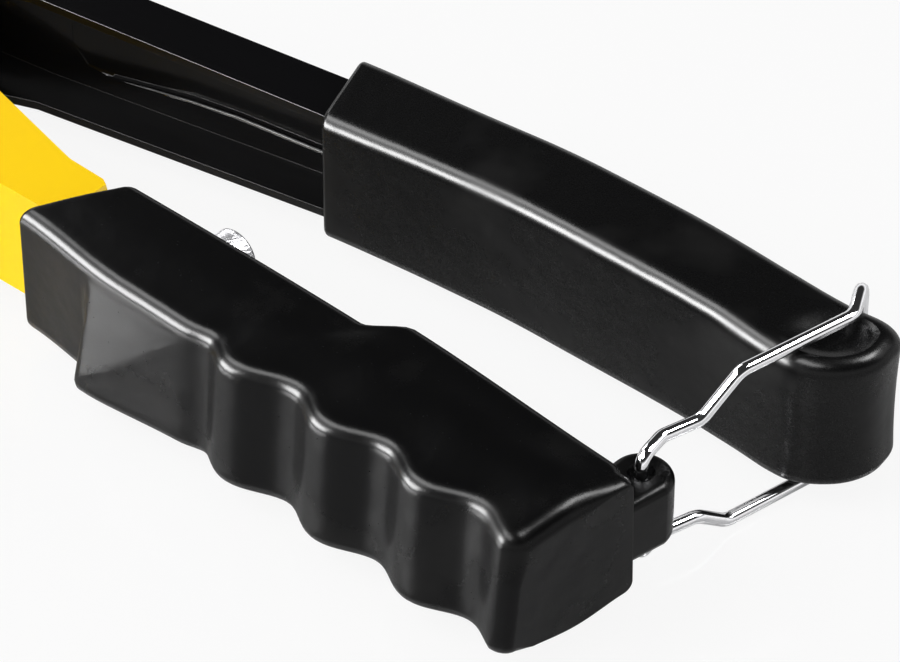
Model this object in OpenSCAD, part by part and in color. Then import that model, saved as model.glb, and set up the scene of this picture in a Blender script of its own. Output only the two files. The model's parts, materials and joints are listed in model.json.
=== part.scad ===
// Snap setter pliers: a lever tool that closes a snap between a ram die and an anvil die.
// X runs along the handles, Y along the ram, Z along every hinge pin, and Z = 0 is the mid-plane.
// The origin is the centre of the anvil die's snap seat. The tool is drawn latched shut by its bail.

/* [Jaws] */
// Ram axis to the inside of the C-frame's spine
throat_depth = 25; // [18:1:40]
// Clear height between the anvil arm and the ram boss
throat_h = 18.5; // [16:0.5:28]
// Width of the spine
spine_w = 19; // [14:1:26]
// Height of the anvil arm
arm_h = 13.5; // [10:0.5:20]
// Half width of the ram boss and of the anvil arm's tip
boss_r = 11; // [10:0.5:15]
// Half thickness of the casting under the lever's cheeks
head_half = 11.2; // [10:0.1:11.2]
// Half thickness of the C-shaped jaw
jaw_half = 12.6; // [11:0.1:14]

/* [Dies] */
// Diameter of the anvil die
anvil_d = 15; // [14:0.5:20]
// Height of the anvil die above its arm
anvil_h = 6.3; // [5:0.1:9]
// Diameter of the snap seat
seat_d = 12.6; // [8:0.2:13]
// Depth of the snap seat
seat_h = 0.8; // [0.5:0.1:1.5]
// Diameter of the anvil die's stud
stud_d = 8; // [6:1:10]
// Height of the stud's lock nut
nut_h = 6.5; // [5:0.5:8]
// Diameter of the ram die
die_d = 12; // [9:0.5:14]
// Length of the ram die below the ram
die_h = 7.3; // [5:0.1:10]
// Diameter of the ram die's shank
shank_d = 5; // [3:0.5:6]
// Gap between the dies with the tool latched
die_gap = 1.4; // [1.3:0.1:3]

/* [Ram] */
// Diameter of the ram
ram_d = 10; // [9:0.5:11]
// Diameter of the spring collar at the ram's top
collar_d = 14; // [13:0.5:15]
// Height of the spring collar
collar_h = 3; // [2:0.5:4]
// Wall of the ram's bush
bush_wall = 2; // [1:0.25:2.5]
// Length of the ram's bush
bush_len = 13.5; // [11:0.5:20]
// Depth of the pocket that holds the return spring
pocket_h = 13; // [10:0.5:18]
// Wire diameter of the return spring
spring_wire = 1.4; // [1:0.1:1.6]
// Turns of the return spring
spring_turns = 4.5; // [3:0.5:6]
// Diameter of the screw that keys the ram
key_d = 4; // [3:0.5:5]

/* [Lever] */
// Pivot pin to ram axis
lever_arm = 26; // [22:0.5:32]
// Sheet thickness of the channel lever
sheet = 1.8; // [1.2:0.1:2.2]
// Depth of the channel where it is bare
channel_d = 10.5; // [8:0.25:14]
// Gap between the casting's head and each cheek of the lever
cheek_gap = 0.5; // [0.4:0.1:1]
// Front edge of the channel above the roller's axis, where the cheeks end
channel_rise = 5.5; // [5:0.25:7]
// Half height of the channel where the sleeve starts
channel_end_half = 11.8; // [10:0.1:12.5]
// Radius of the lever's ears round the pivot
ear_r = 9.5; // [8:0.5:11]
// Diameter of the pivot pin
pivot_d = 8; // [6:0.5:10]
// Diameter of the press roller
roller_d = 12; // [10:0.5:14]
// Diameter of the roller's pin
roller_pin_d = 5; // [4:0.5:6]
// Half width of the press roller
roller_half = 8; // [6:0.5:9]
// Start of the channel's rib, ahead of the fixed grip
rib_start = 40; // [34:1:41]
// Half width of the rib at its waist
rib_half = 4.7; // [4:0.1:5.4]
// Height of the rib
rib_h = 1.5; // [1:0.1:1.8]
// Angle that the lever travels from latched to squeezed
squeeze_deg = 2.6; // [1:0.1:2.6]

/* [Handles] */
// Ram axis to the start of the fixed grip
grip_x = 84; // [78:0.5:110]
// Length of the fixed grip
grip_len = 117.8; // [100.3:0.5:140.3]
// Mean width of the fixed grip
grip_w = 21.3; // [19.3:0.5:25.3]
// Thickness of the fixed grip's closed end
grip_end_wall = 7.8; // [5:0.2:10]
// Half height of the fixed grip at its end
grip_half = 13; // [12.5:0.1:15]
// Finger pitch
finger_pitch = 20.45; // [18:0.05:24]
// Depth of the finger grooves
finger_h = 3.3; // [1:0.1:4]
// How far the finger stop stands out
guard_h = 4; // [2:0.1:6]
// How far the palm swell stands out
swell_h = 4.9; // [3:0.1:6]
// How far the palm swell stands out at the grip's end
swell_end_h = 3.6; // [2.5:0.1:4]
// How far the flat sides of the fixed grip bulge at its end
crown_h = 1.1; // [0.5:0.1:1.5]
// Start of the fixed grip to the spare die
spare_at = 24.5; // [23:0.1:25]
// Half thickness of the neck
neck_half = 11.6; // [10.5:0.1:11.6]
// Height of the tang inside the fixed grip
tang_h = 11; // [8:0.5:12]
// Half height of the lever grip at its mouth
sleeve_half = 14.2; // [13.8:0.1:14.2]
// Wall of the lever grip ahead of the channel's edges
sleeve_wall = 2.8; // [2:0.1:3]
// Depth of the lever grip at its mouth
sleeve_mouth_d = 18.5; // [17.5:0.1:19]
// Depth of the lever grip at its middle
sleeve_d = 18.6; // [18:0.1:19.2]
// Depth of the lever grip at the bail
sleeve_tip_d = 17.3; // [16.8:0.1:18]
// Height that the channel's front edge gains inside the lever grip
sleeve_rise = 6.7; // [4.7:0.5:8.2]
// Radius of the lever grip's round end
sleeve_end_r = 9.5; // [9:0.1:9.8]
// Depth of the thumb dish in each side of that end
dish_h = 1.4; // [1:0.1:1.8]

/* [Bail] */
// Wire diameter of the bail
wire_d = 2.4; // [1.8:0.1:2.6]
// Lug pivot to the crossbar
bail_r = 52.3; // [50.3:0.5:55.3]
// Half height of the bail at the lever grip
bail_half = 16.4; // [16.2:0.1:17]
// Half height of the bail beside the lug
bail_waist = 10; // [9.5:0.1:11]
// How much further the bail's lower arm stands from the lug
waist_drop = 2.2; // [0:0.2:3]
// Radius of the lug that carries the bail
lug_r = 5.6; // [5:0.1:6.5]
// Half thickness of the lug
lug_half = 6.85; // [5:0.05:7]
// Rounding of the lug's edges
lug_round = 1.6; // [1:0.1:2]

/* [Fits] */
// Running clearance of pins and the ram, on the radius
running = 0.05; // [0.02:0.01:0.1]
// Clearance between a sleeve and what it covers
sleeve_fit = 0.1; // [0.05:0.05:0.2]
// Clearance between the swinging bail and the lever grip's round end, before its slant
swing_gap = 0.9; // [0.8:0.05:1.1]
// Gap between the bail's crossbar and the lever grip with the tool latched
latch_gap = 1.9; // [1.7:0.1:2.2]
// Gap between the roller and the ram's top
contact_gap = 0.15; // [0.1:0.05:0.3]

/* [Hidden] */
$fn = 48;

black = [0.05, 0.05, 0.055];
yellow = [0.99, 0.8, 0.02];
steel = [0.62, 0.63, 0.65];
chrome = [0.85, 0.86, 0.88];
bronze = [0.72, 0.52, 0.3];

// Heights along the ram, from the anvil die up to the roller
rim_y = seat_h;
arm_top = rim_y - anvil_h;
arm_bottom = arm_top - arm_h;
boss_bottom = arm_top + throat_h;
bush_bottom = boss_bottom + 0.5;
pocket_floor = bush_bottom + bush_len;
head_top = pocket_floor + pocket_h;
roller_y = head_top + 2 + roller_d / 2;
ram_top = roller_y - roller_d / 2 - contact_gap;
ram_bottom = rim_y + die_gap + die_h;
pocket_d = collar_d + 1.4;
bush_d = ram_d + 2 * running + 2 * bush_wall;
pivot = [-lever_arm, roller_y - 1];
frame_ear_r = ear_r + 0.5;

cheek_inner = head_half + cheek_gap;
channel_half = cheek_inner + sheet;

// The casting's neck and tang
spine_x = throat_depth + spine_w;
neck_top = roller_y - 20.5;
neck_bottom = neck_top - 12.5;
tang_top = neck_top - 1.9;
tang_bottom = tang_top - tang_h;
tang_half = grip_half - 3;
tang_end = grip_x + grip_len - grip_end_wall;

// The fixed grip's profiles, against the distance along its outer edge
grip_end = grip_x + grip_len;
inner_y = neck_top + 1;
outer_y = inner_y + 0.2 - grip_w;
first_finger = grip_x + 54.8;
guard_x = grip_x + 19.6;
swell_x = grip_x + 58.9;
mouth_slant = 0.54;
end_slant = 0.17;

// The lug, the bail and the lever grip's end
bail_turn = 85.4;
end_turn = 80;
lug = [grip_end - 0.3, inner_y + 9.1];
cross = lug + bail_r * [cos(bail_turn), sin(bail_turn)];
end_c = lug + (bail_r - wire_d / 2 - swing_gap - sleeve_end_r) * [cos(end_turn), sin(end_turn)];

// The channel's front edge: straight from the head, then bent along the lever grip
cheek_x = grip_x - 41;
sleeve_x = grip_x + 20.6;
front_tip = cross[1] - wire_d / 2 - latch_gap - sleeve_tip_d + sleeve_wall;
front_0 = front_tip - sleeve_rise;
bend_x = [cheek_x, sleeve_x, sleeve_x + 40.4, sleeve_x + 71.4, lug[0] + 2];
bend_y = [roller_y + channel_rise, front_0, front_0 + 0.75 * sleeve_rise, front_0 + 0.94 * sleeve_rise,
    front_tip];
lever_slope = 0.17;
channel_tip = lug[0] - 2;
web_x = pivot[0] + 20;

// ---------- helpers ----------
function smooth(x, a, b) = let (t = min(1, max(0, (x - a) / (b - a)))) t * t * (3 - 2 * t);
function mix(a, b, t) = a + (b - a) * t;
function unit(v) = v / norm(v);

// One corner of an outline, rounded to radius r
function corner(a, p, b, r, n = 6) =
    let (u = unit(a - p), v = unit(b - p), half = acos(u * v) / 2,
        c = p + unit(u + v) * r / sin(half), s = p + u * r / tan(half) - c,
        e = p + v * r / tan(half) - c, a0 = atan2(s[1], s[0]),
        turn = ((atan2(e[1], e[0]) - a0 + 540) % 360) - 180)
    [for (i = [0:n]) c + r * [cos(a0 + turn * i / n), sin(a0 + turn * i / n)]];

// An outline from [x, y, radius] corners
function rounded(q) =
    let (m = len(q))
    [for (i = [0:m - 1])
        let (a = q[(i + m - 1) % m], p = q[i], b = q[(i + 1) % m])
        each (p[2] > 0 ? corner([a[0], a[1]], [p[0], p[1]], [b[0], b[1]], p[2]) : [[p[0], p[1]]])];

// A plan outline made a plate, centred on the mid-plane
module plate(outline, half) {
    translate([0, 0, -half]) linear_extrude(2 * half) polygon(outline);
}

// A side view, half heights against X, made a block that is wide along Y
module side_block(steps) {
    last = len(steps) - 1;
    rotate([90, 0, 0]) translate([0, 0, -200]) linear_extrude(400)
        polygon(concat(steps, [for (i = [0:last]) [steps[last - i][0], -steps[last - i][1]]]));
}

// A cylinder along Y from y0 to y1
module y_cylinder(d, y0, y1) {
    translate([0, y0, 0]) rotate([-90, 0, 0]) cylinder(h = y1 - y0, d = d);
}

// A cylinder along Z from z0 to z1
module z_cylinder(d, z0, z1) {
    translate([0, 0, z0]) cylinder(h = z1 - z0, d = d);
}

// The bend of a wire at p, on its way from a to b: start, end, centre, axis and angle
function bend(a, p, b, r) =
    let (u = unit(p - a), v = unit(b - p), turn = acos(u * v), t = r * tan(turn / 2),
        n = unit(cross(u, v)))
    [p - u * t, p + v * t, p - u * t + r * cross(n, u), n, turn];

// A straight length of wire, longer than a to b by extra at both ends
module straight_wire(a, b, d, extra) {
    v = unit(b - a);
    translate(a - extra * v) rotate([0, acos(v[2]), atan2(v[1], v[0])])
        cylinder(h = norm(b - a) + 2 * extra, d = d);
}

// A wire bent at each inner point of a path of [x, y, z, radius]. The bends are a hair thicker
// than the straight lengths, which run a little way into them.
module bent_wire(path, d) {
    n = len(path) - 1;
    p = [for (q = path) [q[0], q[1], q[2]]];
    bends = [for (i = [1:n - 1]) bend(p[i - 1], p[i], p[i + 1], path[i][3])];
    ends = concat([p[0]], [for (e = bends) each [e[0], e[1]]], [p[n]]);
    for (i = [0:n - 1]) straight_wire(ends[2 * i], ends[2 * i + 1], d - 0.06, 0.25);
    for (e = bends) {
        x = unit(e[0] - e[2]);
        y = cross(e[3], x);
        multmatrix([[x[0], y[0], e[3][0], e[2][0]], [x[1], y[1], e[3][1], e[2][1]],
            [x[2], y[2], e[3][2], e[2][2]], [0, 0, 0, 1]])
            rotate_extrude(angle = e[4], $fn = 60) translate([norm(e[0] - e[2]), 0])
                circle(d = d, $fn = 20);
    }
}

// A skin over a row of closed sections
module loft(rows) {
    n = len(rows[0]);
    m = len(rows);
    polyhedron([for (row = rows) each row], concat(
        [[for (j = [0:n - 1]) j]],
        [for (i = [0:m - 2], j = [0:n - 1]) [i * n + j, (i + 1) * n + j, (i + 1) * n + (j + 1) % n]],
        [for (i = [0:m - 2], j = [0:n - 1]) [i * n + j, (i + 1) * n + (j + 1) % n, i * n + (j + 1) % n]],
        [[for (j = [0:n - 1]) m * n - 1 - j]]));
}

// A quarter ellipse of a section, seen along X, as [y, z]
function quarter(cy, cz, ry, rz, from, n = 4) =
    [for (i = [0:n]) let (t = from + 90 * i / n) [cy + ry * cos(t), cz + rz * sin(t)]];

// ---------- the frame ----------
// The handle bar of the casting; c is a clearance all round, for the sleeve that covers it
function bar(c) = [
    [spine_x, neck_bottom - 1.6 - c], [grip_x - 1, neck_bottom - c], [grip_x + 4, tang_bottom + 0.2 - c],
    [tang_end + c, tang_bottom - 1 - c], [tang_end + c, tang_top - 1 + c], [grip_x + 7.2, tang_top + c],
    [grip_x + 3.6, neck_top + c], [spine_x, neck_top + c]];

function bar_side(c) = [
    [throat_depth, neck_half + c], [grip_x + 5, neck_half + c],
    [grip_x + 7, tang_half + c], [tang_end + c, tang_half + c]];

module handle_bar(c) {
    intersection() {
        plate(bar(c), neck_half + 1);
        side_block(bar_side(c));
    }
}

module c_frame() {
    outline = rounded([
        [pivot[0], pivot[1], 0], [pivot[0] - frame_ear_r * 0.84, pivot[1] - frame_ear_r * 0.54, 0],
        [-boss_r - 1, boss_bottom + 3, 3], [-boss_r + 2, boss_bottom, 1.5],
        [throat_depth, boss_bottom, 6], [throat_depth, arm_top, 6], [-boss_r, arm_top, 1.5],
        [-boss_r, arm_bottom, 4], [spine_x - 4, arm_bottom, 14], [spine_x, neck_bottom - 1.6, 9],
        [grip_x - 1, neck_bottom, 0], [grip_x - 1, neck_top, 0], [grip_x - 4.6, neck_top, 9],
        [lever_arm - 6, head_top + 0.3, 8], [pivot[0] + frame_ear_r * 0.7, head_top, 0]]);
    intersection() {
        union() {
            plate(outline, neck_half);
            translate(pivot) z_cylinder(2 * frame_ear_r, -head_half, head_half);
        }
        side_block([[pivot[0] - 20, head_half], [throat_depth + 5, head_half],
            [spine_x - 4, neck_half], [grip_x, neck_half]]);
    }
    // The jaw takes the load of setting, so it is thicker than the rest
    intersection() {
        plate(outline, jaw_half);
        translate([-2 * boss_r, arm_bottom - 1, -jaw_half - 1])
            cube([2 * boss_r + spine_x + 1, arm_h + throat_h, 2 * jaw_half + 2]);
    }
}

module frame_casting() {
    color(yellow) difference() {
        union() {
            c_frame();
            handle_bar(0);
        }
        // Ram, its bush and the spring pocket
        y_cylinder(ram_d + 1, boss_bottom - 1, head_top + 1);
        y_cylinder(bush_d, bush_bottom, head_top + 1);
        y_cylinder(pocket_d, pocket_floor, head_top + 6);
        // The key screw's hole
        translate([0, key_y, 0]) z_cylinder(key_d, 0, head_half + 1);
        // The anvil's stud
        y_cylinder(stud_d, arm_bottom - 1, arm_top + 1);
        // The pivot pin and the seats of its washers
        translate(pivot) {
            z_cylinder(pivot_d, -head_half - 1, head_half + 1);
            for (s = [-1, 1]) translate([0, 0, s * (head_half + 0.4)])
                cylinder(h = 2, d = washer_d + 1, center = true);
        }
        // The spare die's threaded hole
        translate([spare_x, 0, 0]) y_cylinder(spare_thread_d, tang_top - spare_deep, neck_top + 1);
    }
}

// ---------- the fixed grip ----------
function fingers(x) = outer_y - finger_h / 2 * cos(360 * (x - first_finger) / finger_pitch);
function collar_y(x) = outer_y + 0.2 + 2.3 * (1 - smooth(x, grip_x, grip_x + 27));
// The outer edge; lag is how much further back its fingers lie
function outer_edge(x, lag) =
    mix(collar_y(x), fingers(x - lag), smooth(x, first_finger - 11, first_finger - 8));
function outer_top(x) = outer_edge(x, 0);
function guard(x) = smooth(x, guard_x - 1, guard_x + 1.8)
    * (mix(guard_h, 1.7, smooth(x, guard_x, guard_x + 26))
        + 0.8 * smooth(x, guard_x + 32, grip_end - 20));
function outer_bottom(x) = outer_edge(x, mix(0.7, 1.3, smooth(x, first_finger, grip_end))) - guard(x);
function inner_edge(x) = inner_y + 0.3 + 0.9 * sin(180 * (x - grip_x) / grip_len);
function swell(x) = smooth(x, swell_x - 3.2, swell_x + 3.2)
    * mix(swell_h, swell_end_h, smooth(x, swell_x, grip_end)) - 2.2 * smooth(x, grip_end - 6, grip_end);
function grip_z(x) = mix(grip_half + 1, grip_half, smooth(x, grip_x, grip_end));

function grip_section(x) =
    let (yt = outer_top(x), yb = outer_bottom(x), yi = inner_edge(x) + swell(x), h = grip_z(x),
        c = crown_h * mix(0.2, 1, smooth(x, grip_x, grip_end)), hi = h - 0.1 * c, r = 3, ri = 2.5,
        top = [for (q = [[0.75, 0.1], [0.55, 0.7], [0.36, 1], [0.22, 0.7]])
            [mix(yt, yi, q[0]), h + q[1] * c]])
    concat(
        quarter(yi - ri, hi - ri, ri, ri, 0), top, quarter(yt + r, h - r, r, r, 90),
        quarter(yb + r, r - h, r, r, 180), [for (i = [3:-1:0]) [top[i][0], -top[i][1]]],
        quarter(yi - ri, ri - hi, ri, ri, 270));

module grip_body() {
    steps = 44;
    loft([for (i = [0:steps])
        let (x = mix(grip_x, grip_end, i / steps), t = smooth(i / steps, 0, 1),
            k = mix(mouth_slant, end_slant, t), y0 = mix(collar_y(grip_x), outer_y, t))
        [for (p = grip_section(x)) [x + k * (p[0] - y0), p[0], p[1]]]]);
}

// The lug's plan, half of it, to be cut by its own rounded side view
module lug_solid() {
    foot = inner_y - 8;
    slope = end_slant * (lug[1] - foot);
    plate([[lug[0] - lug_r, lug[1]], [lug[0] - lug_r, foot], [lug[0] + lug_r - slope - 3, foot],
        [lug[0] + lug_r - 0.1, lug[1]]], lug_half);
    translate(lug) rotate_extrude() polygon([[0, -lug_half],
        for (a = [-90:15:90]) [lug_r - lug_round * (1 - cos(a)),
            sign(a) * (lug_half - lug_round) + lug_round * sin(a)],
        [0, lug_half]]);
}

module fixed_grip() {
    color(black) difference() {
        union() {
            grip_body();
            lug_solid();
        }
        handle_bar(sleeve_fit);
        translate([lug[0], lug[1], 0]) z_cylinder(wire_d + 2 * running, -lug_half - 1, lug_half + 1);
        for (s = [-1, 1]) translate([lug[0], lug[1], s * lug_half]) rotate([s > 0 ? 0 : 180, 0, 0])
            translate([0, 0, -1.2]) cylinder(h = 1.4, d1 = wire_d + 0.4, d2 = wire_d + 3);
        translate([spare_x, 0, 0]) y_cylinder(spare_d + 0.6, tang_top - 2, inner_y + 8);
    }
}

// ---------- the spare die ----------
spare_x = grip_x + spare_at;
spare_d = 9;
spare_h = 12.4;
spare_thread_d = 6;
spare_deep = tang_h - 3;

module spare_die() {
    seat = tang_top - 0.05;
    color(steel) translate([spare_x, 0, 0]) difference() {
        union() {
            y_cylinder(spare_thread_d, tang_top - spare_deep + 0.2, seat + 0.1);
            y_cylinder(spare_d, seat + 0.1, seat + spare_h);
        }
        y_cylinder(spare_d - 3, seat + spare_h - 1.5, seat + spare_h + 1);
    }
}

// ---------- the ram's guide ----------
key_y = pocket_floor - 3;
key_depth = 1.5;

module ram_bush() {
    color(bronze) difference() {
        y_cylinder(bush_d, bush_bottom, pocket_floor);
        y_cylinder(ram_d + 2 * running, bush_bottom - 1, pocket_floor + 1);
        translate([0, key_y, 0]) z_cylinder(key_d, 0, bush_d);
    }
}

module ram_key_screw() {
    dog = key_d - 1.2;
    color(steel) translate([0, key_y, 0]) difference() {
        union() {
            z_cylinder(dog, ram_d / 2 - key_depth + 0.3, ram_d / 2 + 1);
            z_cylinder(key_d, ram_d / 2 + 0.3, head_half - 0.3);
        }
        translate([-key_d, -0.4, head_half - 1.3]) cube([2 * key_d, 0.8, 2]);
    }
}

function coil_point(i, j, rings, y0, y1, r, w) =
    let (a = 360 * spring_turns * i / rings, s = r + w / 2 * cos(60 * j),
        y = mix(y0, y1, i / rings) + w / 2 * sin(60 * j))
    [s * cos(a), y, s * sin(a)];

module return_spring() {
    w = spring_wire;
    r = (collar_d - w) / 2;
    rings = ceil(spring_turns * 14);
    y0 = pocket_floor + w / 2 + 0.05;
    y1 = ram_top - collar_h - w / 2 - 0.05;
    color(steel) loft([for (i = [0:rings]) [for (j = [0:5]) coil_point(i, j, rings, y0, y1, r, w)]]);
}

// ---------- the anvil ----------
module anvil_die() {
    stud_end = arm_bottom - nut_h - 2;
    color(steel) difference() {
        union() {
            y_cylinder(anvil_d, arm_top, rim_y);
            y_cylinder(stud_d, stud_end, arm_top + 0.1);
        }
        y_cylinder(seat_d, 0, rim_y + 1);
        translate([-stud_d, stud_end - 1, -0.6]) cube([2 * stud_d, 2.4, 1.2]);
    }
}

module anvil_lock_nut() {
    color(steel) difference() {
        translate([0, arm_bottom, 0]) rotate([90, 0, 0]) cylinder(h = nut_h, d = stud_d * 1.875, $fn = 6);
        y_cylinder(stud_d, arm_bottom - nut_h - 1, arm_bottom + 1);
    }
}

// ---------- the pivot ----------
washer_d = 16;

module pivot_pin() {
    color(steel) translate(pivot) difference() {
        union() {
            z_cylinder(pivot_d, -channel_half - 0.1, channel_half + 2.2);
            z_cylinder(pivot_d + 4, -channel_half - 2.1, -channel_half - 0.1);
        }
        clip_groove(pivot_d, channel_half + 0.2);
    }
}

// A groove for a retaining ring, 1 mm wide, from height z up
module clip_groove(d, z) {
    difference() {
        z_cylinder(d + 2, z, z + 1);
        z_cylinder(d - 1.2, z - 1, z + 2);
    }
}

// A retaining ring with an open mouth, in such a groove
module clip(d, z) {
    difference() {
        z_cylinder(d * 1.7, z + 0.1, z + 0.9);
        z_cylinder(d - 1.2, z - 1, z + 2);
        translate([0, -d * 0.3, z - 1]) cube([d * 2, d * 0.6, 3]);
    }
}

module pivot_washers() {
    color(steel) translate(pivot) for (s = [-1, 1]) difference() {
        translate([0, 0, s * (head_half - 0.55 + cheek_inner - 0.05) / 2])
            cylinder(h = cheek_inner - head_half + 0.5, d = washer_d, center = true);
        z_cylinder(pivot_d + 2 * running, -channel_half, channel_half);
    }
}

module pivot_clip() {
    color(steel) translate(pivot) clip(pivot_d, channel_half + 0.2);
}

// ---------- the lever ----------
function bent(x) = lookup(x, [for (i = [0:4]) [bend_x[i], bend_y[i]]]);
function front(x) = x < cheek_x ? bend_y[0] - (cheek_x - x) * lever_slope : bent(x);
function depth(x) = channel_d + 2.1 * smooth(x, sleeve_x, sleeve_x + 26)
    - 0.8 * smooth(x, bend_x[3], bend_x[4]);
function web(x) = front(x) + depth(x);

channel_steps = [cheek_x, sleeve_x, sleeve_x + 13, sleeve_x + 26, bend_x[2], bend_x[3], channel_tip];

// Plan of the channel from the cheeks to its tip; c is a clearance all round
function channel_plan(c) = concat(
    [for (x = channel_steps) [x + (x == channel_tip ? c : 0), front(x) - c]],
    [for (i = [len(channel_steps) - 1:-1:0]) let (x = channel_steps[i])
        [x + (x == channel_tip ? c : 0), web(x) + c]]);

function channel_side(c) = [
    [pivot[0] - 20, channel_half + c], [cheek_x - 4, channel_half + c],
    [sleeve_x, channel_end_half + c], [channel_tip + c, channel_end_half - 0.4 + c]];

// The strip of plan that lies from d0 to d1 under the web's outer face
function web_strip(x0, x1, d0, d1) =
    let (xs = concat([x0], [for (x = channel_steps) if (x > x0 && x < x1) x], [x1]), n = len(xs) - 1)
    concat([for (x = xs) [x, web(x) - d0]], [for (i = [n:-1:0]) [xs[i], web(xs[i]) - d1]]);

module cheek_plan() {
    polygon(concat(
        [pivot + ear_r * [cos(80), sin(80)], pivot, pivot + ear_r * [cos(285), sin(285)]],
        [[0, head_top - 1.2], [lever_arm - 12, head_top + 1.5]],
        [[cheek_x, front(cheek_x)], [cheek_x, web(cheek_x)], [10, web(10)]]));
    translate(pivot) circle(r = ear_r);
}

module lever_solid() {
    intersection() {
        translate([0, 0, -channel_half]) linear_extrude(2 * channel_half) {
            cheek_plan();
            polygon(channel_plan(0));
        }
        side_block(channel_side(0));
    }
}

rib_x = grip_x - rib_start;
rib_wall = 1.2;

// The rib's block, from d0 to d1 under the web's outer face and larger by c all round
module rib(c, d0, d1) {
    intersection() {
        plate(web_strip(rib_x - c, sleeve_x + 20 + c, d0, d1), channel_half);
        side_block([[rib_x - c, rib_half - 2.5 + c], [rib_x + 3, rib_half + 1.6 + c],
            [rib_x + 8, rib_half + 2.5 + c], [rib_x + 17, rib_half + 1.5 + c],
            [rib_x + 25, rib_half + 0.4 + c], [rib_x + 35, rib_half + c],
            [sleeve_x + 20 + c, rib_half + 1 + c]]);
    }
}

module lever_channel() {
    color(black) difference() {
        union() {
            difference() {
                lever_solid();
                // The space between the flanges, open at the front and at the pivot end
                intersection() {
                    translate([0, 0, -channel_half]) linear_extrude(2 * channel_half) union() {
                        polygon(concat([[web_x, web(web_x) - sheet], [web_x, web(web_x) + 20],
                            [pivot[0] - 20, web(web_x) + 20], [pivot[0] - 20, 0], [channel_tip + 1, 0]],
                            [for (i = [len(channel_steps) - 1:-1:0]) let (x = channel_steps[i])
                                [x + (x == channel_tip ? 1 : 0), web(x) - sheet]]));
                    }
                    side_block([for (p = channel_side(0))
                        [p[0] + (p[0] == channel_tip ? 2 : 0), p[1] - sheet]]);
                }
            }
            // The rib that stiffens the web, pressed outwards
            rib(rib_wall, -rib_h, 0.1);
        }
        rib(0, sheet - rib_h, sheet + 0.1);
        translate(pivot) z_cylinder(pivot_d + 2 * running, -channel_half - 1, channel_half + 1);
        translate([0, roller_y, 0]) z_cylinder(roller_pin_d, -channel_half - 1, channel_half + 1);
    }
}

// ---------- the lever grip ----------
function sleeve_front(x) = front(x) - sleeve_wall;
function sleeve_back(x) = sleeve_front(x)
    + mix(sleeve_mouth_d, sleeve_d, smooth(x, sleeve_x - 4, sleeve_x + 30))
    - (sleeve_d - sleeve_tip_d) * smooth(x, sleeve_x + 64, cross[0]);
function sleeve_mid(x) = (sleeve_front(x) + sleeve_back(x)) / 2;
function sleeve_w(x) = (sleeve_back(x) - sleeve_front(x)) / 2;
function sleeve_z(x) = sleeve_half + 0.7 * smooth(x, sleeve_x, sleeve_x + 60)
    - 0.3 * smooth(x, lug[0] - 10, lug[0]);
function sleeve_slant(x) = -0.35 * (1 - smooth(x, sleeve_x, sleeve_x + 26))
    + 0.3 * smooth(x, sleeve_x + 60, lug[0] - 4);

function sleeve_section(x, yc, w) =
    let (h = sleeve_z(x), r = min(3, w * 0.9))
    concat(quarter(yc + w - r, h - r, r, r, 0), quarter(yc - w + r, h - r, r, r, 90),
        quarter(yc - w + r, r - h, r, r, 180), quarter(yc + w - r, r - h, r, r, 270));

// The underside of the round end rises a little towards its tip
function sleeve_point(p, x, yc) =
    [x + sleeve_slant(x) * (p[0] - yc), p[0],
        p[1] * (p[1] < 0 ? 1 - 0.07 * smooth(x, lug[0], end_c[0] + 6) : 1)];

module sleeve_body() {
    x0 = sleeve_x - 1.5;
    steps = 36;
    straight = [for (i = [0:steps])
        let (x = mix(x0, end_c[0], i / steps), t = smooth(x, lug[0] - 14, end_c[0]),
            yc = mix(sleeve_mid(x), end_c[1], t), w = mix(sleeve_w(x), sleeve_end_r, t))
        [for (p = sleeve_section(x, yc, w)) sleeve_point(p, x, yc)]];
    round_end = [for (a = [12:12:84]) let (x = end_c[0] + sleeve_end_r * sin(a))
        [for (p = sleeve_section(x, end_c[1], sleeve_end_r * cos(a))) sleeve_point(p, x, end_c[1])]];
    loft(concat(straight, round_end));
}

module lever_grip() {
    dish_r = 19.2;
    color(black) difference() {
        sleeve_body();
        intersection() {
            plate(channel_plan(sleeve_fit), channel_half);
            side_block(channel_side(sleeve_fit));
        }
        rib(rib_wall + sleeve_fit, -rib_h - sleeve_fit, 0.2);
        for (s = [-1, 1]) translate([end_c[0] + 0.5, end_c[1], s * (sleeve_half + 0.4 - dish_h + dish_r)])
            sphere(r = dish_r);
    }
}

// ---------- the roller ----------
module roller_pin() {
    reach = channel_half + 1.7;
    color(steel) translate([0, roller_y, 0]) difference() {
        z_cylinder(roller_pin_d, -reach, reach);
        for (s = [0, 1]) mirror([0, 0, s]) clip_groove(roller_pin_d, channel_half + 0.1);
    }
}

module roller_spacers() {
    color(steel) translate([0, roller_y, 0]) for (s = [0, 1]) mirror([0, 0, s]) difference() {
        z_cylinder(roller_pin_d + 3, roller_half + 0.1, cheek_inner - 0.05);
        z_cylinder(roller_pin_d, 0, channel_half);
    }
}

module roller_clips() {
    color(steel) translate([0, roller_y, 0]) for (s = [0, 1]) mirror([0, 0, s])
        clip(roller_pin_d, channel_half + 0.1);
}

module press_roller() {
    color(steel) translate([0, roller_y, 0]) difference() {
        z_cylinder(roller_d, -roller_half, roller_half);
        z_cylinder(roller_pin_d + 2 * running, -roller_half - 1, roller_half + 1);
    }
}

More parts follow.
